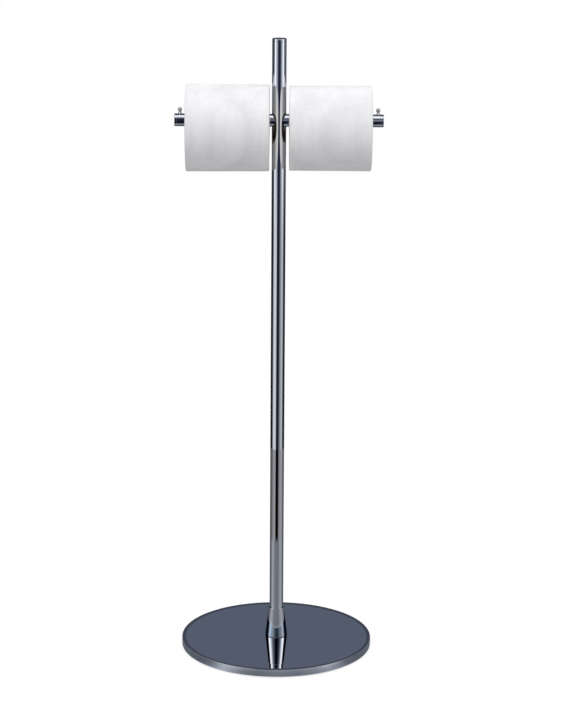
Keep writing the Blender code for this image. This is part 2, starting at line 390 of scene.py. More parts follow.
# %% Wound edges
layer_width = 0.9 * mm
layer_relief = 0.3 * mm

tissue_ends, tree, shader, place = new_finish("wound_tissue_edges", "#EAEAED",
                                              metallic=0, roughness=0.97)
centred = add(tree, "ShaderNodeMapping",
              {"Vector": place, "Location": (0, 0, -roll_height)})
layers = add(tree, "ShaderNodeTexWave",
             {"Vector": centred.outputs["Vector"], "Scale": wave_share / layer_width,
              "Distortion": 1.6, "Detail": 3, "Detail Scale": 0.6},
             wave_type="RINGS", rings_direction="X")
tone = add(tree, "ShaderNodeValToRGB", {"Fac": layers.outputs["Fac"]})
tone.color_ramp.elements[0].color = hex_colour("#D9D9DD")
tone.color_ramp.elements[1].position = 0.6
tone.color_ramp.elements[1].color = hex_colour("#F2F2F4")
tree.links.new(tone.outputs["Color"], shader.inputs["Base Color"])
bump = add(tree, "ShaderNodeBump",
           {"Height": layers.outputs["Fac"], "Strength": 0.6, "Distance": layer_relief})
tree.links.new(bump.outputs["Normal"], shader.inputs["Normal"])
print("made", tissue_ends.name)

# %% [markdown]
# ## Core board
#
# A core is wound from two strips of grey-brown recycled board, glued at a slant, so one
# shallow seam climbs round the tube. The board itself is flecked with darker fibres. The
# seam lies where the turn round the axis and the way along it add up to a whole number.

# %% Core board
seam_pitch = 62 * mm
seam_share = 0.018
seam_depth = 0.3 * mm
fleck = 1.4 * mm

core_board, tree, shader, place = new_finish("spiral_wound_board", "#B39C83",
                                             metallic=0, roughness=0.92)
level = add(tree, "ShaderNodeMapping",
            {"Vector": place, "Location": (0, 0, -roll_height),
             "Rotation": (0, math.radians(90), 0)}, vector_type="POINT")
angle = add(tree, "ShaderNodeTexGradient", {"Vector": level.outputs["Vector"]},
            gradient_type="RADIAL")
along = add(tree, "ShaderNodeSeparateXYZ", {"Vector": place})
climb = add(tree, "ShaderNodeMath", {0: along.outputs["X"], 1: 1 / seam_pitch},
            operation="MULTIPLY")
turns = add(tree, "ShaderNodeMath", {0: climb.outputs["Value"], 1: angle.outputs["Fac"]},
            operation="ADD")
share = add(tree, "ShaderNodeMath", {0: turns.outputs["Value"]}, operation="FRACT")
seam = add(tree, "ShaderNodeMath", {0: share.outputs["Value"], 1: seam_share},
           operation="GREATER_THAN")
flecks = add(tree, "ShaderNodeTexNoise",
             {"Vector": place, "Scale": 1 / fleck, "Detail": 5, "Roughness": 0.7})
tone = add(tree, "ShaderNodeValToRGB", {"Fac": flecks.outputs["Fac"]})
tone.color_ramp.elements[0].position = 0.32
tone.color_ramp.elements[0].color = hex_colour("#8D7860")
tone.color_ramp.elements[1].position = 0.62
tone.color_ramp.elements[1].color = hex_colour("#BBA58C")
seam_tone = add(tree, "ShaderNodeMix",
                {"Factor": seam.outputs["Value"], 6: hex_colour("#6E5B47"),
                 7: tone.outputs["Color"]}, data_type="RGBA")
tree.links.new(seam_tone.outputs[2], shader.inputs["Base Color"])
bump = add(tree, "ShaderNodeBump",
           {"Height": seam.outputs["Value"], "Strength": 0.7, "Distance": seam_depth})
tree.links.new(bump.outputs["Normal"], shader.inputs["Normal"])
print("made", core_board.name)

# %% [markdown]
# ## How the turned pieces are shaped
#
# Nearly every piece of this stand comes off a lathe or is drawn as tube, so it starts as
# a few corners of (radius, height) and is spun into a ring. The corner rings are then
# rounded with a bevel, as a real edge is broken. The normals are weighted by face area,
# so the flat mirror faces stay flat beside their rounded edges. A wide piece is spun in
# more steps than a narrow one, because its facets would show first.

# %% Shaping helpers
plate_steps = 256
ring_steps = 192
pole_steps = 160
tube_steps = 128
washer_steps = 96
peg_steps = 48
sharp_angle = math.radians(38)


def spin_round(shape, steps):
    """Spins an outline once round +Z, closes its seam and turns its faces outwards."""
    bmesh.ops.spin(shape, geom=shape.verts[:] + shape.edges[:], cent=(0, 0, 0),
                   axis=(0, 0, 1), angle=math.tau, steps=steps, use_merge=True)
    bmesh.ops.remove_doubles(shape, verts=shape.verts, dist=same_place)
    bmesh.ops.recalc_face_normals(shape, faces=shape.faces)


def turned(corners, steps):
    """Spins (radius, height) corners. From axis to axis they make a solid, or else a ring."""
    shape = bmesh.new()
    points = [shape.verts.new((radius, 0, height)) for radius, height in corners]
    is_solid = corners[0][0] == 0 and corners[-1][0] == 0
    following = points[1:] if is_solid else points[1:] + points[:1]
    for pair in zip(points, following):
        shape.edges.new(pair)
    spin_round(shape, steps)
    return shape


def round_ring(shape, radius, height, size, segments):
    """Rounds the edges that run round the axis at one radius and height."""
    ring = [edge for edge in shape.edges
            if all(abs(vert.co.xy.length - radius) < same_place
                   and abs(vert.co.z - height) < same_place for vert in edge.verts)]
    bmesh.ops.bevel(shape, geom=ring, offset=size, offset_type="OFFSET",
                    segments=segments, profile=0.5, affect="EDGES", material=-1)


def keep(name, shape, place, body, slot, replaced, *finishes):
    """Turns a shape into a piece with its place in its mesh, riding on a body."""
    shape.transform(place)
    mesh = bpy.data.meshes.new(name)
    shape.to_mesh(mesh)
    shape.free()
    for finish in finishes:
        mesh.materials.append(finish)
    mesh.shade_smooth()
    mesh.set_sharp_from_angle(angle=sharp_angle)
    obj = bpy.data.objects.new(name, mesh)
    bpy.context.scene.collection.objects.link(obj)
    even = obj.modifiers.new("even_normals", "WEIGHTED_NORMAL")
    even.keep_sharp = True
    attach(obj, body)
    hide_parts(replaced)
    print(name, len(mesh.polygons), "faces")
    return obj


def upright(height):
    """Leaves a piece upright and raises it."""
    return Matrix.Translation((0, 0, height))


def outward(side, distance=0):
    """Lays a piece's +Z along an arm, away from the pole."""
    turn = Matrix.Rotation(math.radians(90) * directions[side], 4, "Y")
    return Matrix.Translation((directions[side] * distance, 0, arm_height)) @ turn


print("shaping helpers ready")

# %% [markdown]
# ## The base plate
#
# The plate is turned from thick steel. Its rim is rounded on top, where it catches a
# soft highlight all the way round. Underneath, a ring-shaped recess takes the rubber
# pad and a counterbore takes the screw that holds the collar and the pole. Holes could be
# cut with booleans, but they are round too, so the outline simply includes them.

# %% Base plate
screw_hole = 3.3 * mm
washer_low, washer_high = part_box("base_washer")
counterbore = washer_high.x + seat_gap
pad_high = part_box("base_pad")[1]
pad_outer = pad_high.x
pad_inner = 16 * mm
recess_top = pad_high.z + seat_gap

plate = turned([
    (screw_hole, plate_high.z),
    (plate_radius, plate_high.z),
    (plate_radius, plate_low.z),
    (pad_outer + seat_gap, plate_low.z),
    (pad_outer + seat_gap, recess_top),
    (pad_inner - seat_gap, recess_top),
    (pad_inner - seat_gap, plate_low.z),
    (counterbore, plate_low.z),
    (counterbore, washer_high.z + seat_gap),
    (screw_hole, washer_high.z + seat_gap),
], plate_steps)
round_ring(plate, plate_radius, plate_high.z, plate_edge_round, segments=8)
round_ring(plate, plate_radius, plate_low.z, plate_lower_chamfer, segments=3)
keep("base_plate", plate, upright(0), "stand", "chrome", "base_disc", chrome_plate)

# %% [markdown]
# ## The rubber pad
#
# A flat ring lies in the recess and stands a millimetre proud of the plate, so that only
# rubber meets the floor. It is spun like the plate, and its two lower edges are rounded.

# %% Rubber pad
pad_edge_round = 0.5 * mm

pad = turned([(pad_inner, pad_high.z), (pad_outer, pad_high.z),
              (pad_outer, 0), (pad_inner, 0)], ring_steps)
for edge_radius in (pad_outer, pad_inner):
    round_ring(pad, edge_radius, 0, pad_edge_round, segments=3)
keep("rubber_pad", pad, upright(0), "stand", "pad_rubber", "base_pad", pad_rubber)

# %% [markdown]
# ## The washer under the plate
#
# It spreads the screw's pull in the counterbore. Washers are punched, and the punch
# rounds the edges on one side, here the side that shows from below.

# %% Washer under the plate
washer_edge_round = 0.2 * mm

washer = turned([(screw_hole, washer_high.z), (washer_high.x, washer_high.z),
                 (washer_high.x, washer_low.z), (screw_hole, washer_low.z)], washer_steps)
for edge_radius in (screw_hole, washer_high.x):
    round_ring(washer, edge_radius, washer_low.z, washer_edge_round, segments=3)
keep("foot_washer", washer, upright(0), "stand", "plated_steel", "base_washer", zinc_plate)

# %% [markdown]
# ## The base screw
#
# It is a socket screw, so a six-sided key fits its head from below. The head is made
# from the socket outwards: the hexagon's floor is pulled up into walls, its rim is
# bridged to a round rim, and that rim is drawn out and down into the head and shank.

# %% Base screw
screw_low, screw_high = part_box("base_screw")
head_radius = screw_high.x
head_height = 3.3 * mm
socket_radius = 2.3 * mm
socket_depth = 1.8 * mm
shank_radius = 3 * mm
edge_break = 0.5 * mm


def draw_out(shape, rim, radius_share, drop):
    """Extrudes a rim, scales it about the axis and lowers it. Gives the new rim."""
    grown = bmesh.ops.extrude_edge_only(shape, edges=rim)["geom"]
    verts = [item for item in grown if isinstance(item, bmesh.types.BMVert)]
    bmesh.ops.scale(shape, verts=verts, vec=(radius_share, radius_share, 1))
    bmesh.ops.translate(shape, verts=verts, vec=(0, 0, -drop))
    return [item for item in grown if isinstance(item, bmesh.types.BMEdge)
            and all(vert in verts for vert in item.verts)]


screw = bmesh.new()
bmesh.ops.create_circle(screw, cap_ends=True, segments=6, radius=socket_radius,
                        matrix=upright(-socket_depth))
hexagon = draw_out(screw, list(screw.edges), 1, -socket_depth)
rim = bmesh.ops.create_circle(screw, segments=peg_steps,
                              radius=head_radius - edge_break)["verts"]
rim = list({edge for vert in rim for edge in vert.link_edges})
bmesh.ops.bridge_loops(screw, edges=hexagon + rim)
shank_length = screw_high.z - screw_low.z - head_height
radius = head_radius - edge_break
for next_radius, drop in (
        (head_radius, edge_break),
        (head_radius, head_height - edge_break),
        (shank_radius, 0),
        (shank_radius, shank_length - edge_break),
        (shank_radius - edge_break, edge_break)):
    rim = draw_out(screw, rim, next_radius / radius, drop)
    radius = next_radius
bmesh.ops.contextual_create(screw, geom=rim)
bmesh.ops.recalc_face_normals(screw, faces=screw.faces)
head_down = upright(screw_low.z) @ Matrix.Rotation(math.pi, 4, "X")
keep("foot_screw", screw, head_down, "stand", "plated_steel", "base_screw", zinc_plate)

# %% [markdown]
# ## The collar
#
# A plain cone hides the foot of the pole. It is turned with a bore that the pole slides
# into and a floor that the pole stands on. Its thin upper lip is barely broken, so from
# a step away the pole seems to flare into it. Its foot is rounded a little more, so that
# its mirror image in the plate meets it in a fine line.

# %% Collar
collar_low, collar_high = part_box("foot_collar")
collar_height = collar_high.z - collar_low.z
collar_foot_radius = 14.45 * mm
collar_top_radius = 10.2 * mm
collar_floor = 5 * mm
collar_edge_break = 0.3 * mm
collar_foot_round = 0.8 * mm
pole_bore = pole_radius + seat_gap

collar = turned([
    (pole_bore, collar_height),
    (collar_top_radius, collar_height),
    (collar_foot_radius, 0),
    (screw_hole, 0),
    (screw_hole, collar_floor),
    (pole_bore, collar_floor),
], ring_steps)
round_ring(collar, collar_top_radius, collar_height, collar_edge_break, segments=3)
round_ring(collar, collar_foot_radius, 0, collar_foot_round, segments=4)
keep("pole_collar", collar, upright(collar_low.z), "stand", "chrome", "foot_collar",
     chrome_plate)

# %% [markdown]
# ## The pole and its cap
#
# The pole is drawn tube, and a plug with a softly rounded edge closes its top. A plug
# has a head as wide as its tube and a spigot that sits inside it. The arms' ends are
# closed in the same way, so one function makes all three.

# %% Pole and its cap
pole = turned([(pole_inner_radius, pole_high.z), (pole_radius, pole_high.z),
               (pole_radius, pole_low.z), (pole_inner_radius, pole_low.z)], pole_steps)
keep("pole", pole, upright(0), "stand", "chrome", "pole_tube", chrome_plate)

cap_height = 3 * mm
pole_cap_round = 0.7 * mm
pole_cap_spigot = 10 * mm
spigot_edge_round = 0.5 * mm


def plug(head_radius, edge_round, spigot_radius, spigot_length):
    """Turns a head with a rounded edge, on a spigot that fits inside a tube."""
    shape = turned([(0, cap_height), (head_radius, cap_height), (head_radius, 0),
                    (spigot_radius, 0), (spigot_radius, -spigot_length),
                    (0, -spigot_length)], tube_steps)
    round_ring(shape, head_radius, cap_height, edge_round, segments=6)
    round_ring(shape, spigot_radius, -spigot_length, spigot_edge_round, segments=2)
    return shape


cap = plug(pole_radius, pole_cap_round, pole_inner_radius - seat_gap, pole_cap_spigot)
keep("pole_cap", cap, upright(pole_high.z + seat_gap), "stand", "chrome", "pole_top_cap",
     chrome_plate)

# %% [markdown]
# ## The arms
#
# Each arm is a short tube whose inner end is milled hollow, so that it saddles the
# round pole without a gap. Here the tube is spun along its own axis, and its inner rim
# is pushed back to the pole's surface, which is what the mill does.

# %% Arms and their end plugs
saddle_radius = pole_radius + seat_gap
arm_edge_break = 0.15 * mm
arm_cap_round = 0.5 * mm
arm_cap_spigot = 12 * mm


def arm_tube():
    """Turns a tube from the pole's axis outwards and hollows its inner end."""
    shape = turned([(arm_inner_radius, arm_end), (arm_radius, arm_end),
                    (arm_radius, 0), (arm_inner_radius, 0)], tube_steps)
    round_ring(shape, arm_radius, arm_end, arm_edge_break, segments=2)
    for vert in shape.verts:
        if vert.co.z < same_place:
            vert.co.z = math.sqrt(saddle_radius ** 2 - vert.co.y ** 2)
    return shape


for side in directions:
    keep(side + "_arm", arm_tube(), outward(side), "stand", "chrome", side + "_arm_tube",
         chrome_plate)
    cap = plug(arm_radius, arm_cap_round, arm_inner_radius - seat_gap, arm_cap_spigot)
    keep(side + "_arm_cap", cap, outward(side, arm_end + seat_gap), "stand", "chrome",
         side + "_end_cap", chrome_plate)

# %% [markdown]
# ## The retaining pegs
#
# A roll is lifted over the peg to put it on, and the ball keeps it from catching the
# core. The peg starts as a ball, is cut off where the neck begins, and the open rim is
# drawn down into the neck, the flared foot and the stud that locks the end plug.

# %% Pegs
ball_radius = 2.75 * mm
neck_radius = 1.7 * mm
foot_radius = 2.6 * mm
foot_height = 1.1 * mm
stud_radius = 1.5 * mm
peg_height = 7.5 * mm
ball_rows = 32
neck_top = peg_height - ball_radius - math.sqrt(ball_radius ** 2 - neck_radius ** 2)


def retaining_peg(stud_length):
    """Cuts a ball open below and draws its rim down into the neck, foot and stud."""
    shape = bmesh.new()
    bmesh.ops.create_uvsphere(shape, u_segments=peg_steps, v_segments=ball_rows,
                              radius=ball_radius,
                              matrix=upright(peg_height - ball_radius))
    bmesh.ops.bisect_plane(shape, geom=shape.verts[:] + shape.edges[:] + shape.faces[:],
                           plane_co=(0, 0, neck_top), plane_no=(0, 0, 1),
                           clear_inner=True)
    rim = [edge for edge in shape.edges if edge.is_boundary]
    radius = neck_radius
    for next_radius, drop in ((neck_radius, neck_top - foot_height),
                              (foot_radius, foot_height),
                              (stud_radius, 0),
                              (stud_radius, stud_length)):
        rim = draw_out(shape, rim, next_radius / radius, drop)
        radius = next_radius
    bmesh.ops.contextual_create(shape, geom=rim)
    bmesh.ops.recalc_face_normals(shape, faces=shape.faces)
    return shape


for side in directions:
    low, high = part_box(side + "_retaining_peg")
    middle = (low + high) / 2
    seat = high.z - peg_height
    keep(side + "_peg", retaining_peg(seat - low.z),
         Matrix.Translation((middle.x, 0, seat)), "stand", "chrome",
         side + "_retaining_peg", chrome_plate)

# %% [markdown]
# ## The cores
#
# A core is a thin tube of board. It hangs from the top of the arm, so its axis lies
# below the arm's. Handling leaves it a little out of round, so each ring of points is
# pushed in or out by a slow noise.

# %% Cores
core_inner_radius = 18.2 * mm
core_dent = 0.12 * mm
dent_spread = 1.3


def about_roll_axis(middle):
    """Lays a turned piece's +Z along +X, round the roll's axis."""
    return Matrix.Translation(middle) @ Matrix.Rotation(math.radians(90), 4, "Y")


for side in directions:
    low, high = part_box(side + "_roll_core")
    middle = (low + high) / 2
    half = (high.x - low.x) / 2
    core_radius = (high.z - low.z) / 2
    core = turned([(core_inner_radius, half), (core_radius, half),
                   (core_radius, -half), (core_inner_radius, -half)], tube_steps)
    for vert in core.verts:
        ring = Vector((vert.co.x, vert.co.y, 0)).normalized()
        dent_place = ring * dent_spread + Vector((0, 0, half / mm))
        vert.co += ring * core_dent * noise.noise(dent_place)
    keep(side + "_core", core, about_roll_axis(middle), side + "_roll", "core_card",
         side + "_roll_core", core_board)

# %% [markdown]
# ## The outline of a paper roll
#
# Hundreds of turns of tissue lie too close to be drawn one by one, so a roll is one thick
# ring with rounded rims. Its outline is cut into rows before it is spun, so that the ring
# can take the relief of a soft winding in the next step.

# %% Paper outline
paper_rim_round = 1.6 * mm
rim_rows = 5
end_rows = 12
outside_rows = 28


def wound_ring(radius, bore, half):
    """Spins a thick ring, half its width to each side, with rows for relief."""
    shape = bmesh.new()
    corners = [shape.verts.new((across, 0, height)) for across, height in
               ((bore, half), (radius, half), (radius, -half), (bore, -half))]
    top, outside, bottom, _ = [shape.edges.new(pair)
                               for pair in zip(corners, corners[1:] + corners[:1])]
    bmesh.ops.subdivide_edges(shape, edges=[top, bottom], cuts=end_rows)
    bmesh.ops.subdivide_edges(shape, edges=[outside], cuts=outside_rows)
    spin_round(shape, ring_steps)
    for height in (half, -half):
        round_ring(shape, radius, height, paper_rim_round, rim_rows)
    return shape


print("each end gets", end_rows, "rows and the outside", outside_rows)

# %% [markdown]
# ## The relief of a paper roll
#
# A wound roll is soft: it swells towards its outer end, its surface rises and falls by a
# fraction of a millimetre, and its layers don't lie quite level at the ends. Its free end
# is pressed down at the back, at an angle from straight down. Two cuts close together let
# the surface step down there by the thickness of the sheet. Sculpting would do as well,
# but moving each point by a formula keeps the two rolls alike and easy to change.

# %% Paper relief
paper_swell = {"left": 0.6 * mm, "right": 0.2 * mm}
free_end = {"left": math.radians(52), "right": math.radians(70)}
step_turn = math.radians(0.35)
sheet_step = 0.3 * mm
free_end_lift = 0.45 * mm
lift_reach = 14 * mm
softness = 0.2 * mm
soft_wave = 34 * mm
layer_shift = 0.25 * mm
layer_wave = 5 * mm


def soften(shape, radius, bore, half, side):
    """Swells the roll, steps its outside down at the free end, and ruffles its ends."""
    for turn in (free_end[side], free_end[side] - step_turn):
        bmesh.ops.bisect_plane(shape, geom=shape.verts[:] + shape.edges[:] + shape.faces[:],
                               plane_co=(0, 0, 0),
                               plane_no=(-math.sin(turn), math.cos(turn), 0))
    for vert in shape.verts:
        across = vert.co.xy.length
        ray = Vector((vert.co.x, vert.co.y, 0)) / across
        height = vert.co.z
        outerness = (across - bore) / (radius - bore)
        last_layers = max(0, 1 - (radius - across) / (2 * paper_rim_round))
        turn = (math.atan2(vert.co.y, vert.co.x) - free_end[side]) % math.tau
        if turn > math.tau - step_turn / 2:
            turn = 0 if turn > math.tau - step_turn / 100 else math.tau
        from_free_end = turn * radius / lift_reach
        grow = sheet_step * (1 - turn / math.tau)
        grow += free_end_lift * math.exp(-from_free_end ** 2)
        grow *= last_layers
        grow += paper_swell[side] * outerness * (1 + directions[side] * height / half) / 2
        soft_place = Vector((ray.x * radius, ray.y * radius, height)) / soft_wave
        grow += softness * outerness * noise.noise(soft_place)
        vert.co += ray * grow
        if abs(height) > half - paper_rim_round / 2:
            ring_place = Vector((across / layer_wave, ray.x, ray.y + height / half))
            vert.co.z += layer_shift * noise.noise(ring_place)


print("free ends at", [round(math.degrees(turn)) for turn in free_end.values()], "degrees")

# %% [markdown]
# ## The two rolls
#
# Each roll fills the space that its CAD piece holds, less its swell, and rides on its own
# body, so it turns on the arm. Faces on the outside get the creped tissue, and the ends
# and the hole get the wound edges.

# %% Paper rolls
for side in directions:
    low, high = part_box(side + "_roll_paper")
    middle = (low + high) / 2
    half = (high.x - low.x) / 2
    outer_radius = (high.z - low.z) / 2 - paper_swell[side]
    core_low, core_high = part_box(side + "_roll_core")
    bore = (core_high.z - core_low.z) / 2 + seat_gap
    paper = wound_ring(outer_radius, bore, half)
    soften(paper, outer_radius, bore, half, side)
    bmesh.ops.recalc_face_normals(paper, faces=paper.faces)
    for face in paper.faces:
        is_outside = face.calc_center_median().xy.length > outer_radius - paper_rim_round / 2
        face.material_index = 0 if is_outside else 1
    keep(side + "_paper", paper, about_roll_axis(middle), side + "_roll", "tissue",
         side + "_roll_paper", tissue_face, tissue_ends)

# %% [markdown]
# ## The fittings inside
#
# The bushes, the long tie screw and its washer sit inside the tubes, where no view
# reaches them. Their CAD pieces stay as they are and only get their real finish.

# %% Fittings inside
for node, finish in (("foot_bush", foot_brass), ("left_arm_bush", arm_brass),
                     ("right_arm_bush", arm_brass), ("tie_screw", zinc_plate),
                     ("tie_washer", zinc_plate)):
    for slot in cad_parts[node].material_slots:
        slot.material = finish
    print(node, "gets", finish.name)

# %% [markdown]
# ## The world
#
# Chrome shows what stands round it, and paper shows where the light comes from, so the
# two are lit apart. The world lights the paper at a plain level. For the camera and in
# reflections it is white, as the photograph's background is, without lighting anything
# more for it.

# %% World


def show_white(tree):
    """One where the camera, a reflection or a see-through ray looks, and zero elsewhere."""
    ray = add(tree, "ShaderNodeLightPath", {})
    seen = add(tree, "ShaderNodeMath", {0: ray.outputs["Is Camera Ray"],
                                        1: ray.outputs["Is Glossy Ray"]},
               operation="ADD", use_clamp=True)
    return add(tree, "ShaderNodeMath", {0: seen.outputs["Value"],
                                        1: ray.outputs["Is Transmission Ray"]},
               operation="ADD", use_clamp=True).outputs["Value"]


ambient_level = 0.68

world = bpy.data.worlds.new("studio")
bpy.context.scene.world = world
world.use_nodes = True
tree = world.node_tree
tree.nodes.clear()
level = add(tree, "ShaderNodeMapRange", {"Value": show_white(tree), "To Min": ambient_level,
                                         "To Max": 1})
sky = add(tree, "ShaderNodeBackground", {"Color": (1, 1, 1, 1),
                                         "Strength": level.outputs["Result"]})
add(tree, "ShaderNodeOutputWorld", {"Surface": sky.outputs["Background"]})
print("world set")

# %% [markdown]
# ## The floor
#
# A pale floor takes the soft shadow of the stand. It is a real diffuse surface near the
# stand, with a glow added for the camera, and fades into an even white further away, so
# that no edge or horizon shows.

# %% Floor
floor_radius = 14
floor_drop = 0.2 * mm
near_floor = 0.45
far_floor = 1.1
floor_bounce = 0.5
near_shine = 0.64

paper_floor = bpy.data.materials.new("white_floor")
paper_floor.use_nodes = True
tree = paper_floor.node_tree
tree.nodes.clear()
place = add(tree, "ShaderNodeTexCoord", {}).outputs["Object"]
distance = add(tree, "ShaderNodeVectorMath", {0: place}, operation="LENGTH")
far = add(tree, "ShaderNodeMapRange",
          {"Value": distance.outputs["Value"], "From Min": near_floor,
           "From Max": far_floor}, interpolation_type="SMOOTHSTEP")
white = show_white(tree)
near_glow = add(tree, "ShaderNodeMath", {0: white, 1: near_shine}, operation="MULTIPLY")
lit = add(tree, "ShaderNodeBsdfDiffuse", {"Color": (floor_bounce,) * 3 + (1,)})
glow = add(tree, "ShaderNodeEmission", {"Strength": near_glow.outputs["Value"]})
near = add(tree, "ShaderNodeAddShader",
           {0: lit.outputs["BSDF"], 1: glow.outputs["Emission"]})
far_glow = add(tree, "ShaderNodeMapRange",
               {"Value": white, "To Min": floor_bounce, "To Max": 1})
even = add(tree, "ShaderNodeEmission", {"Strength": far_glow.outputs["Result"]})
mixed = add(tree, "ShaderNodeMixShader", {0: far.outputs["Result"],
                                          1: near.outputs["Shader"],
                                          2: even.outputs["Emission"]})
add(tree, "ShaderNodeOutputMaterial", {"Surface": mixed.outputs["Shader"]})


def stage_piece(name, shape, material):
    """Turns a shape into a piece of the stage, which isn't part of the stand."""
    mesh = bpy.data.meshes.new(name)
    shape.to_mesh(mesh)
    shape.free()
    mesh.materials.append(material)
    obj = bpy.data.objects.new(name, mesh)
    bpy.context.scene.collection.objects.link(obj)
    obj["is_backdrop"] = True
    return obj


floor = bmesh.new()
bmesh.ops.create_circle(floor, cap_ends=True, segments=96, radius=floor_radius,
                        matrix=upright(-floor_drop))
stage_piece("floor", floor, paper_floor)
print("floor laid")

# %% [markdown]
# ## The lamp
#
# One large round lamp hangs above and in front of the rolls. It makes their tops bright
# and their lower halves darker, as in the photograph. Reflections don't see it, because
# the chrome has a tent of its own.

# %% Lamp
lamp_place = (0, -0.9, 2.5)
lamp_size = 1.6
lamp_watts = 17


def soft_lamp(name, place, target, size, watts):
    """Hangs a round lamp that shines at a target and that mirrors don't show."""
    data = bpy.data.lights.new(name, "AREA")
    data.shape = "DISK"
    data.size = size
    data.energy = watts
    lamp = bpy.data.objects.new(name, data)
    bpy.context.scene.collection.objects.link(lamp)
    lamp.location = place
    lamp.rotation_euler = (Vector(target) - Vector(place)).to_track_quat("-Z", "Y").to_euler()
    lamp.visible_glossy = False
    return lamp


soft_lamp("top_lamp", lamp_place, (0, 0, roll_height), lamp_size, lamp_watts)
print("lamp hung")

# %% [markdown]
# ## What the chrome sees
#
# A photographer builds a tent of cards round chrome, and so does this scene. Only
# reflections see the cards. Their tones are written as (degrees from the front, colour)
# stops, right is positive, and as they show in the plate, so each card shines a little
# more than that, by what the chrome swallows. A ramp of colours round the pole does for
# every card, and the same material can fade to a second ramp between two distances.

# %% Colours round the pole
chrome_share = 0.58
card_gain = 1 / chrome_share


def turn_ramp(tree, place, tones):
    """Colours through (turn, tone) stops, by the turn round the pole, zero in front."""
    front_first = add(tree, "ShaderNodeMapping",
                      {"Vector": place, "Rotation": (0, 0, math.radians(90))})
    turn = add(tree, "ShaderNodeTexGradient", {"Vector": front_first.outputs["Vector"]},
               gradient_type="RADIAL")
    ramp = add(tree, "ShaderNodeValToRGB", {"Fac": turn.outputs["Fac"]})
    stops = ramp.color_ramp.elements
    stops.remove(stops[-1])
    for index, (degrees, tone) in enumerate(tones):
        position = 0.5 + degrees / 360
        stop = stops[0] if index == 0 else stops.new(position)
        stop.position = position
        stop.color = hex_colour(tone)
    return ramp.outputs["Color"]


print("cards shine", round(card_gain, 2), "times as bright as their tones")

# %% [markdown]
# ## The cards' material
#
# Plate, pole and collar also mirror one another. A photographer tones such second
# reflections with small papers that the first ones don't show. Here the light path
# counts a ray's mirrors, so a card can show in first or in second reflections only. This
# is a matter of the stage: no finish of the stand does it. A card that hangs level over
# the floor can also be clear from above, so that it shows only to what lies under it.

# %% Material of a card
between_first_and_second = 1.5


def card_material(name, tones, further_tones=None, near=0, far=1, axis="Z",
                  one_sided=False, bounce=None, shine=1):
    """A glow with tones by turn, which may change to other tones between two distances.
    It may be clear from behind, and show in the first or the second reflection only."""
    material = bpy.data.materials.new(name)
    material.use_nodes = True
    tree = material.node_tree
    tree.nodes.clear()
    place = add(tree, "ShaderNodeTexCoord", {}).outputs["Object"]
    colour = turn_ramp(tree, place, tones)
    if further_tones:
        if axis in "XYZ":
            way = add(tree, "ShaderNodeSeparateXYZ", {"Vector": place}).outputs[axis]
        else:
            way = add(tree, "ShaderNodeVectorMath", {0: place},
                      operation="LENGTH").outputs["Value"]
        share = add(tree, "ShaderNodeMapRange",
                    {"Value": way, "From Min": near, "From Max": far},
                    interpolation_type="SMOOTHSTEP")
        colour = add(tree, "ShaderNodeMix",
                     {"Factor": share.outputs["Result"], 6: colour,
                      7: turn_ramp(tree, place, further_tones)},
                     data_type="RGBA").outputs[2]
    glow = add(tree, "ShaderNodeEmission",
               {"Color": colour, "Strength": card_gain * shine}).outputs["Emission"]
    if one_sided:
        unseen = add(tree, "ShaderNodeNewGeometry", {}).outputs["Backfacing"]
        if bounce:
            bounces = add(tree, "ShaderNodeLightPath", {}).outputs["Glossy Depth"]
            other = add(tree, "ShaderNodeMath", {0: bounces, 1: between_first_and_second},
                        operation="GREATER_THAN" if bounce == 1 else "LESS_THAN")
            unseen = add(tree, "ShaderNodeMath", {0: unseen, 1: other.outputs["Value"]},
                         operation="MAXIMUM").outputs["Value"]
        clear = add(tree, "ShaderNodeBsdfTransparent", {}).outputs["BSDF"]
        glow = add(tree, "ShaderNodeMixShader", {0: unseen, 1: glow, 2: clear}).outputs[0]
    add(tree, "ShaderNodeOutputMaterial", {"Surface": glow})
    return material


print("card material ready")

# %% [markdown]
# ## The cards' shape
#
# Most cards are bands round the pole's axis, so one helper spins a short edge through
# part of a turn. An upright edge gives a wall, and a level edge gives a ring.

# %% Shape of a card
card_distance = 0.92
overlap = 0.04
near_wall = card_distance - 0.02
degrees_per_face = 4


def hidden_card(name, shape, material):
    """A card that only reflections see."""
    card = stage_piece(name, shape, material)
    card.visible_camera = False
    card.visible_diffuse = False
    card.visible_transmission = False
    card.visible_volume_scatter = False
    card.visible_shadow = False
    return card


def curved_card(name, foot, head, start, end, material):
    """Spins a card from foot to head, each (radius, height). Zero is in front, right is
    positive. A level card's good side looks down."""
    shape = bmesh.new()
    ends = [shape.verts.new((0, -radius, height)) for radius, height in (foot, head)]
    edge = shape.edges.new(ends)
    bmesh.ops.rotate(shape, verts=ends, cent=(0, 0, 0),
                     matrix=Matrix.Rotation(math.radians(start), 3, "Z"))
    bmesh.ops.spin(shape, geom=[*ends, edge], cent=(0, 0, 0), axis=(0, 0, 1),
                   angle=math.radians(end - start),
                   steps=round((end - start) / degrees_per_face))
    shape.normal_update()
    facing_up = [face for face in shape.faces if face.normal.z > 0.5]
    bmesh.ops.reverse_faces(shape, faces=facing_up)
    return hidden_card(name, shape, material)


print("card helpers ready")

# %% [markdown]
# ## The tent's wall
#
# The pole mirrors the wall in tall bands: a dark one in front, which draws the line down
# its middle, grey paper beside that, and two bright soft boxes at the sides. The wall has
# one list of tones for its foot and one for the rest, because the pole's lower half
# mirrors the foot.

# %% Tent wall
roof_height = 1.6
foot_blend_start = 0.32
foot_blend_end = 0.56
navy = "#1E2236"
charcoal = "#2B2E36"
soft_white = "#FAFBFC"

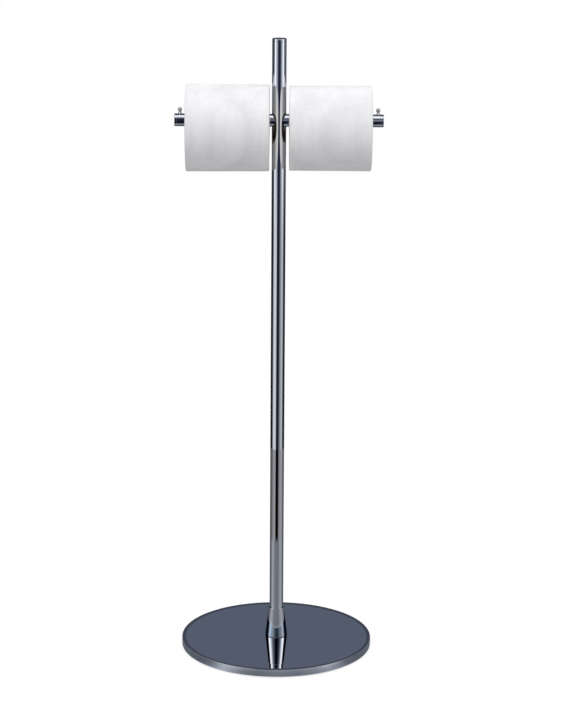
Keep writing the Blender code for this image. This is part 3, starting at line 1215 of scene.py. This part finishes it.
low_tones = [
    (-180, "#26282F"), (-125, "#121317"), (-108, "#16171B"), (-96, "#2E3036"),
    (-88, "#4A4C52"), (-78, "#A4A6AA"), (-66, "#C8CACC"), (-46, "#CDCED0"),
    (-32, "#BABBBE"), (-25, "#A4A6AA"), (-22, "#3A3D48"), (-18, "#171A26"),
    (10, "#171A26"), (15, "#2C2F3A"), (23, "#5C5E66"), (34, "#7C7E84"),
    (46, "#96989C"), (58, "#A8AAAE"), (72, "#B8BABC"), (80, "#94969A"),
    (92, "#3E4046"), (104, "#24262B"), (130, "#1C1D22"), (180, "#26282F"),
]
high_tones = [
    (-180, "#3A3F4A"), (-150, charcoal), (-98, "#3A3D44"), (-88, "#54565C"),
    (-79, "#7C7E82"), (-73, soft_white), (-62, soft_white), (-56, "#D4D6D9"),
    (-34, "#9EA0A6"), (-22, "#6A6D74"), (-14, navy), (17, navy),
    (24, "#565960"), (34, "#868A90"), (56, "#CACDD1"), (61, "#F4F5F6"),
    (74, "#F4F5F6"), (81, "#85878C"), (98, "#565A62"), (150, "#4A4E57"),
    (180, "#3A3F4A"),
]
curved_card("tent_wall", (card_distance, 0), (card_distance, roof_height), -180, 180,
            card_material("tent_wall", low_tones, high_tones, foot_blend_start,
                          foot_blend_end))
print("tent wall up")

# %% [markdown]
# ## The sweep behind
#
# The top of the plate mirrors what stands low behind it, so a plain slate sweep there
# gives it its even blue-grey. A sweep of paper is the usual way to keep a large flat
# mirror calm.

# %% Sweep behind
slate = "#515865"
sweep_foot = 0.24
sweep_head = 0.5

curved_card("sweep_behind", (near_wall, sweep_foot), (near_wall, sweep_head), 165, 195,
            card_material("sweep_behind", [(-180, slate), (180, slate)]))
print("sweep up")

# %% [markdown]
# ## The panel in front
#
# The arms, their plugs and the pole between them mirror what stands in front at their own
# height. The tent's wall alone would be too dark there, so a graded panel hangs before it.

# %% Panel in front
panel_foot = 0.7
panel_head = 1.58
panel_turn = 26
above_arm_grey = "#4A4D54"
arm_blend_start = 0.96
arm_blend_end = 1.12

arm_level_tones = [
    (-26, "#55585F"), (-15, "#14161C"), (-8, "#1A1C22"), (-5, "#5A5D63"), (-2, "#6C6F75"),
    (4, "#6A6D73"), (9, "#7E8187"), (15, "#7E8187"), (26, "#565960"),
]
above_arm_tones = [(-panel_turn, above_arm_grey), (panel_turn, above_arm_grey)]
curved_card("front_panel", (near_wall, panel_foot), (near_wall, panel_head),
            -panel_turn, panel_turn,
            card_material("front_panel", arm_level_tones, above_arm_tones,
                          arm_blend_start, arm_blend_end))
print("front panel up")

# %% [markdown]
# ## The roof and its strip light
#
# The upper sides of the arms, the pegs' balls and the rounded rims mirror the roof. It is
# paler in front than behind, and a strip light under it draws the thin white highlights.

# %% Roof card and strip light
strip_width = 1.5
strip_depth = 0.55
strip_middle = (0, -0.17, roof_height - 0.02)

roof = bmesh.new()
bmesh.ops.create_circle(roof, cap_ends=True, segments=48, radius=card_distance + overlap,
                        matrix=upright(roof_height))
hidden_card("roof_card", roof,
            card_material("roof_card", [(-180, "#4A4D55"), (-100, "#4A4D55"),
                                        (-60, "#A5A8AD"), (60, "#A5A8AD"),
                                        (100, "#4A4D55"), (180, "#4A4D55")]))
strip = bmesh.new()
bmesh.ops.create_grid(strip, x_segments=1, y_segments=1, size=0.5,
                      matrix=Matrix.Translation(strip_middle)
                      @ Matrix.Diagonal((strip_width, strip_depth, 1, 1)))
hidden_card("strip_light", strip,
            card_material("strip_light", [(-180, soft_white), (180, soft_white)]))
print("roof and strip light up")

# %% [markdown]
# ## The floor card
#
# The lower part of the pole and the upper part of the collar mirror the floor. Grey paper
# lies near the stand, and further out its tones carry on those of the wall's foot.

# %% Floor card
paper_end = 0.42
wall_tones_start = 0.46
near_tones = [
    (-180, "#484B51"), (-130, "#4C4F55"), (-112, "#52555B"), (-96, "#707378"),
    (-84, "#888B8F"), (-70, "#9B9EA1"), (-55, "#929598"), (-42, "#828589"),
    (-30, "#707378"), (0, "#6B6F73"), (24, "#686B70"), (36, "#7A7D81"),
    (50, "#8C8F92"), (72, "#96999B"), (86, "#888B8F"), (96, "#787B7F"),
    (112, "#585B61"), (130, "#4C4F55"), (180, "#484B51"),
]
far_tones = [
    (-180, "#535256"), (-130, "#535256"), (-104, "#535255"), (-86, "#6B6A6D"),
    (-70, "#858486"), (-55, "#939294"), (-29, "#908F90"), (-23, "#2A282A"),
    (-18, "#040100"), (11, "#040100"), (17, "#2A282A"), (24, "#666567"),
    (42, "#8D8C8F"), (80, "#959495"), (92, "#7B7A7D"), (106, "#535255"),
    (130, "#59585D"), (180, "#535256"),
]
floor_paper = bmesh.new()
bmesh.ops.create_circle(floor_paper, cap_ends=True, segments=96,
                        radius=card_distance + overlap,
                        matrix=upright(-0.5 * floor_drop))
hidden_card("floor_card", floor_paper,
            card_material("floor_card", near_tones, far_tones, paper_end, wall_tones_start,
                          "LENGTH"))
print("floor card in")

# %% [markdown]
# ## The ring round the plate
#
# The plate's upright edge mirrors the floor close by. A narrow ring lies there, and its
# tones give the soft bright patches at the front left and right of the edge. Close to the
# plate its tones are darker in front than further out: a painted shadow of the plate.

# %% Ring round the plate
ring_gap = 0.5 * mm
ring_outer = 0.152
rim_near = 0.136
rim_far = 0.149
# Tones close to the plate, darker in front than further out: a painted shadow of the plate on
# the floor.
shadowed_rim_tones = [
    (-180, "#585D64"), (-90, "#565B62"), (-54, "#555A61"), (-47, "#6A6E76"),
    (-41, "#8C8F96"), (-36, "#A6A9B0"), (-29, "#909399"), (-22, "#707479"),
    (-12, "#62666D"), (0, "#6E7278"), (14, "#686C73"), (28, "#7C7F86"),
    (36, "#8E9198"), (44, "#7C7F86"), (52, "#5E6269"), (64, "#555A61"), (180, "#585D64"),
]
off_rim_tones = [
    (-180, "#565A60"), (-90, "#54595F"), (-66, "#60656B"), (-54, "#585D63"),
    (-47, "#6C7076"), (-40, "#ACAFB4"), (-36, "#ACAFB4"), (-29, "#A0A3A8"),
    (-22, "#84878C"), (-12, "#6F737A"), (0, "#7C8086"), (14, "#7A7E84"),
    (28, "#888B90"), (36, "#B0B3B8"), (44, "#A6A9AE"), (52, "#666B71"),
    (64, "#52575C"), (90, "#54595F"), (180, "#565A60"),
]
curved_card("rim_card", (plate_radius + ring_gap, 0), (ring_outer, 0), -180, 180,
            card_material("rim_card", shadowed_rim_tones, off_rim_tones, rim_near, rim_far,
                          "LENGTH"))
print("ring laid")

# %% [markdown]
# ## The dark line round the plate
#
# The plate's rounded upper edge is a dark line in the photograph, so a dark ring hangs
# just over it. Pole and collar mirror that edge too, but there the photograph shows no
# line. In those second reflections a paler ring takes the dark one's place.

# %% Rings over the rounded edge
rim_shade = "#3C404A"
shade_height = plate_high.z + plate_edge_round
shade_inner = 0.1195
shade_outer = 0.14
lip_inner = 0.115
lip_outer = 0.142
lip_height = shade_height + 0.2 * mm

curved_card("rim_shade", (shade_inner, shade_height), (shade_outer, shade_height), -180, 180,
            card_material("rim_shade", [(-180, rim_shade), (180, rim_shade)],
                          one_sided=True, bounce=1))
curved_card("lip_card", (lip_inner, lip_height), (lip_outer, lip_height), -180, 180,
            card_material("lip_card", near_tones, one_sided=True, bounce=2,
                          shine=1 / chrome_share))
print("rings over the edge hung")

# %% [markdown]
# ## A low shelf for second reflections
#
# The collar's lower part mirrors the plate, which mirrors what lies low around it. A low
# shelf gives that part its blue sides and its dark middle. It shows in second reflections
# only, because in first ones it would draw arcs across the plate.

# %% Low shelf
low_shelf_height = 0.1
low_shelf_inner = 0.2
low_shelf_outer = 0.8
low_shelf_turn = 140
shelf_tones = [
    (-180, "#10151F"), (-138, "#151B2A"), (-120, "#040E1C"), (-94, "#030712"),
    (-86, "#7A8693"), (-78, "#C0CDD7"), (-69, "#DBE7F1"), (-60, "#B6C8D5"),
    (-50, "#8398A6"), (-40, "#8E9BA2"), (-30, "#869299"), (-20, "#4A5660"),
    (-10, "#45505B"), (0, "#343D45"), (10, "#151F29"), (20, "#374551"), (30, "#606973"),
    (40, "#7A858C"), (50, "#7C838C"), (60, "#8B939B"), (70, "#C0C6CD"), (79, "#BCC2C7"),
    (85, "#90979F"), (94, "#0B1320"), (120, "#020B19"), (138, "#121B2C"), (180, "#101726"),
]
curved_card("low_shelf", (low_shelf_inner, low_shelf_height),
            (low_shelf_outer, low_shelf_height), -low_shelf_turn, low_shelf_turn,
            card_material("low_shelf", shelf_tones, one_sided=True, bounce=2))
print("low shelf in")

# %% [markdown]
# ## A middle shelf for second reflections
#
# The plate also mirrors the collar, upside down, and that image mirrors what stands
# higher up. It shows two very bright stripes round a black one, brighter than any other
# tone, so this shelf has a shine of its own.

# %% Middle shelf
middle_shelf_inner = (0.5, 0.42)
middle_shelf_outer = (0.915, 0.36)
middle_shelf_turn = 160
middle_shelf_shine = 1.6
middle_shelf_tones = [
    (-180, "#020308"), (-97, "#020308"), (-88, "#F0EDE8"), (-76, "#F8F5F0"),
    (-65, "#CED4D1"), (-49, "#7B8084"), (-35, "#4B5157"), (-21, "#373D46"),
    (-12, "#02030A"), (10, "#02030A"), (21, "#131B24"), (35, "#373E45"), (49, "#6E7277"),
    (65, "#C7C9CB"), (76, "#F8F5F0"), (88, "#F0EDE8"), (97, "#020308"), (180, "#020308"),
]
curved_card("middle_shelf", middle_shelf_inner, middle_shelf_outer,
            -middle_shelf_turn, middle_shelf_turn,
            card_material("middle_shelf", middle_shelf_tones, one_sided=True, bounce=2,
                          shine=middle_shelf_shine))
print("middle shelf in")

# %% [markdown]
# ## Cards in the gap between the rolls
#
# Beside the rolls the pole mirrors their inner ends. The paper's own ends would do it,
# but little light reaches them in the narrow gap, so half a ring of card lies just off
# each, lit in front and shaded towards the pole.

# %% Cards in the gap
gap_card_offset = 0.5 * mm
gap_card_steps = 64
gap_front = 20 * mm
gap_middle = 7 * mm
lit_tissue = "#C6C3BF"
shaded_tissue = "#74726F"

for side in directions:
    low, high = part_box(side + "_roll_paper")
    inner_end = (low.x if side == "right" else high.x) - gap_card_offset * directions[side]
    core_low, core_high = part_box(side + "_roll_core")
    bore = (core_high.z - core_low.z) / 2 + seat_gap
    shape = bmesh.new()
    ends = [shape.verts.new((radius, 0, 0))
            for radius in (bore, (high.z - low.z) / 2 - paper_rim_round)]
    shape.edges.new(ends)
    spin_round(shape, gap_card_steps)
    shape.transform(about_roll_axis((inner_end, 0, (low.z + high.z) / 2)))
    bmesh.ops.bisect_plane(shape, geom=shape.verts[:] + shape.edges[:] + shape.faces[:],
                           plane_co=(0, -pole_radius / 2, 0), plane_no=(0, 1, 0),
                           clear_outer=True)
    hidden_card(side + "_gap_card", shape,
                card_material(side + "_gap_card",
                              [(-180, shaded_tissue), (180, shaded_tissue)],
                              [(-180, lit_tissue), (180, lit_tissue)],
                              -gap_middle, -gap_front, "Y"))
print("gap cards in")

# %% [markdown]
# ## Last checks
# ## The two boxes
# The two boxes show that the looks keep the CAD model's size.

# %% The two boxes
visual_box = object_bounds()
sizes = {"cad": [list(corner) for corner in cad_box],
         "visual": [list(corner) for corner in visual_box]}
for name, corners in sizes.items():
    print(name, [[round(value, 4) for value in corner] for corner in corners])
